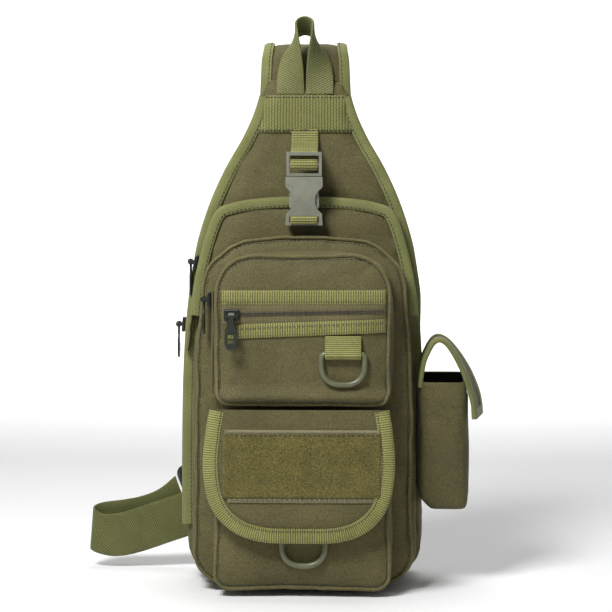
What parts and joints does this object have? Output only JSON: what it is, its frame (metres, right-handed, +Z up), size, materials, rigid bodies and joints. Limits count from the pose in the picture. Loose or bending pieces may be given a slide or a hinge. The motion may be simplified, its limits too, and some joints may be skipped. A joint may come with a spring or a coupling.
{
  "type": "sling bag",
  "caption": "One-shoulder sling bag with stacked zipped compartments, a flapped front pocket, a side pocket, a side-release buckle, D-rings, a grab handle and a folded shoulder strap.",
  "frame": {"origin": "middle of the flat base under the main compartment", "axes": "+Z up along the bag, the pockets face -Y, +X to the right as the front is seen"},
  "size_m": [0.2885, 0.1227, 0.4015],
  "materials": {
    "fabric": "coated woven pack cloth, matt",
    "back_mesh": "padded spacer mesh, matt",
    "webbing": "ribbed woven webbing",
    "piping": "fabric-covered piping",
    "zip_tape": "woven zip tape",
    "zip_metal": "dark gunmetal coating",
    "loop_patch": "napped loop pile",
    "hook_patch": "stiff hook tape",
    "olive_plastic": "moulded, slightly glossy",
    "black_plastic": "moulded"
  },
  "bodies": {
    "bag": {"back_panel": "back_mesh", "body_binding_left": "webbing", "body_binding_right": "webbing", "buckle_socket": "olive_plastic", "buckle_tab": "webbing", "compression_strap": "webbing", "front_compartment": "fabric", "front_piping": "piping", "gusset_zip_tape": "zip_tape", "lower_pocket": "fabric", "lower_pocket_piping": "piping", "lower_ring_tab": "webbing", "main_compartment": "fabric", "main_zip_tape": "zip_tape", "neck_band": "webbing", "pocket_hem": "webbing", "pocket_loop_patch": "loop_patch", "pocket_zip_coil": "zip_metal", "pocket_zip_tape": "zip_tape", "second_binding": "webbing", "second_compartment": "fabric", "second_zip_tape": "zip_tape", "side_loop_patch": "loop_patch", "side_pocket": "fabric", "strap_webbing": "webbing", "strip_lower": "webbing", "strip_upper": "webbing", "upper_pocket": "fabric", "upper_pocket_piping": "piping", "upper_ring_tab": "webbing"},
    "handle": {"handle_loop": "webbing"},
    "plug": {"buckle_plug": "olive_plastic", "strap_fold": "webbing"},
    "latch_left": {"latch_left": "olive_plastic"},
    "latch_right": {"latch_right": "olive_plastic"},
    "front_slider": {"front_zip_slider": "zip_metal"},
    "front_pull": {"front_zip_pull": "zip_metal"},
    "gusset_slider": {"gusset_zip_slider": "zip_metal"},
    "gusset_pull": {"gusset_zip_pull": "zip_metal"},
    "second_slider": {"second_zip_slider": "zip_metal"},
    "second_pull": {"second_zip_pull": "zip_metal"},
    "main_slider": {"main_zip_slider": "zip_metal"},
    "main_pull": {"main_zip_pull": "zip_metal"},
    "upper_ring": {"upper_d_ring": "olive_plastic"},
    "lower_ring": {"lower_d_ring": "olive_plastic"},
    "flap": {"front_flap": "fabric", "flap_binding": "webbing", "loop_panel": "loop_patch", "flap_hook_patch": "hook_patch"},
    "side_flap": {"side_flap": "fabric", "side_flap_binding_front": "webbing", "side_flap_binding_back": "webbing", "side_hook_patch": "hook_patch"},
    "strap": {"shoulder_pad": "fabric", "shoulder_webbing": "webbing"},
    "ring": {"strap_ring": "black_plastic"}
  },
  "joints": [
    {"name": "handle_fold", "type": "hinge", "parent": "bag", "child": "handle", "pos_m": [0, 0.01778, 0.3465], "axis": [1, 0, 0], "range_deg": [0, 70], "stiffness_Nm_per_rad": 0.03, "springref_deg": -11.46},
    {"name": "buckle_release", "type": "slide", "parent": "bag", "child": "plug", "axis": [0, 0, 1], "range_m": [0, 0.012], "deforming": ["compression_strap"]},
    {"name": "latch_left_squeeze", "type": "hinge", "parent": "plug", "child": "latch_left", "pos_m": [-0.0075, -0.0095, 0.2876], "axis": [0, -1, 0], "range_deg": [0, 6], "stiffness_Nm_per_rad": 0.01, "springref_deg": -5.73},
    {"name": "latch_right_squeeze", "type": "hinge", "parent": "plug", "child": "latch_right", "pos_m": [0.0075, -0.0095, 0.2876], "axis": [0, 1, 0], "range_deg": [0, 6], "stiffness_Nm_per_rad": 0.01, "springref_deg": -5.73},
    {"name": "front_zip", "type": "slide", "parent": "bag", "child": "front_slider", "axis": [0.9998, 0, 0.02], "range_m": [0, 0.1]},
    {"name": "front_pull_swing", "type": "hinge", "parent": "front_slider", "child": "front_pull", "pos_m": [-0.049, -0.05224, 0.1936], "axis": [-1, 0, 0], "range_deg": [0, 100]},
    {"name": "gusset_zip", "type": "slide", "parent": "bag", "child": "gusset_slider", "axis": [0, -0.1093, -0.994], "range_m": [0, 0.055]},
    {"name": "gusset_pull_swing", "type": "hinge", "parent": "gusset_slider", "child": "gusset_pull", "pos_m": [-0.0694, -0.03117, 0.203], "axis": [0, 0.994, -0.1093], "range_deg": [0, 90]},
    {"name": "second_zip", "type": "slide", "parent": "bag", "child": "second_slider", "axis": [-0.2256, -0.0969, -0.9694], "range_m": [0, 0.03]},
    {"name": "second_pull_swing", "type": "hinge", "parent": "second_slider", "child": "second_pull", "pos_m": [-0.08128, 0.00451, 0.22712], "axis": [0, 0.995, -0.0995], "range_deg": [0, 90]},
    {"name": "main_zip", "type": "slide", "parent": "bag", "child": "main_slider", "axis": [-0.072, -0.0448, -0.9964], "range_m": [0, 0.05]},
    {"name": "main_pull_swing", "type": "hinge", "parent": "main_slider", "child": "main_pull", "pos_m": [-0.09104, 0.01716, 0.18136], "axis": [0, 0.999, -0.045], "range_deg": [0, 90]},
    {"name": "upper_ring_swing", "type": "hinge", "parent": "bag", "child": "upper_ring", "pos_m": [0.028, -0.0515, 0.167], "axis": [-1, 0, 0], "range_deg": [0, 110]},
    {"name": "lower_ring_swing", "type": "hinge", "parent": "bag", "child": "lower_ring", "pos_m": [0.001, -0.0639, 0.043], "axis": [-1, 0, 0], "range_deg": [0, 30]},
    {"name": "front_flap_lift", "type": "hinge", "parent": "bag", "child": "flap", "pos_m": [0, -0.054, 0.13], "axis": [-1, 0, 0], "range_deg": [0, 105]},
    {"name": "side_flap_lift", "type": "hinge", "parent": "bag", "child": "side_flap", "pos_m": [0.089, -0.002, 0.1685], "axis": [0, -1, 0], "range_deg": [0, 75]},
    {"name": "strap_swing", "type": "hinge", "parent": "bag", "child": "strap", "pos_m": [0, 0.036, 0.377], "axis": [1, 0, 0], "range_deg": [0, 12]},
    {"name": "strap_ring_tilt", "type": "hinge", "parent": "strap", "child": "ring", "pos_m": [-0.07783, 0.046, 0.05588], "axis": [0.342, 0, -0.9397], "range_deg": [0, 30]}
  ]
}
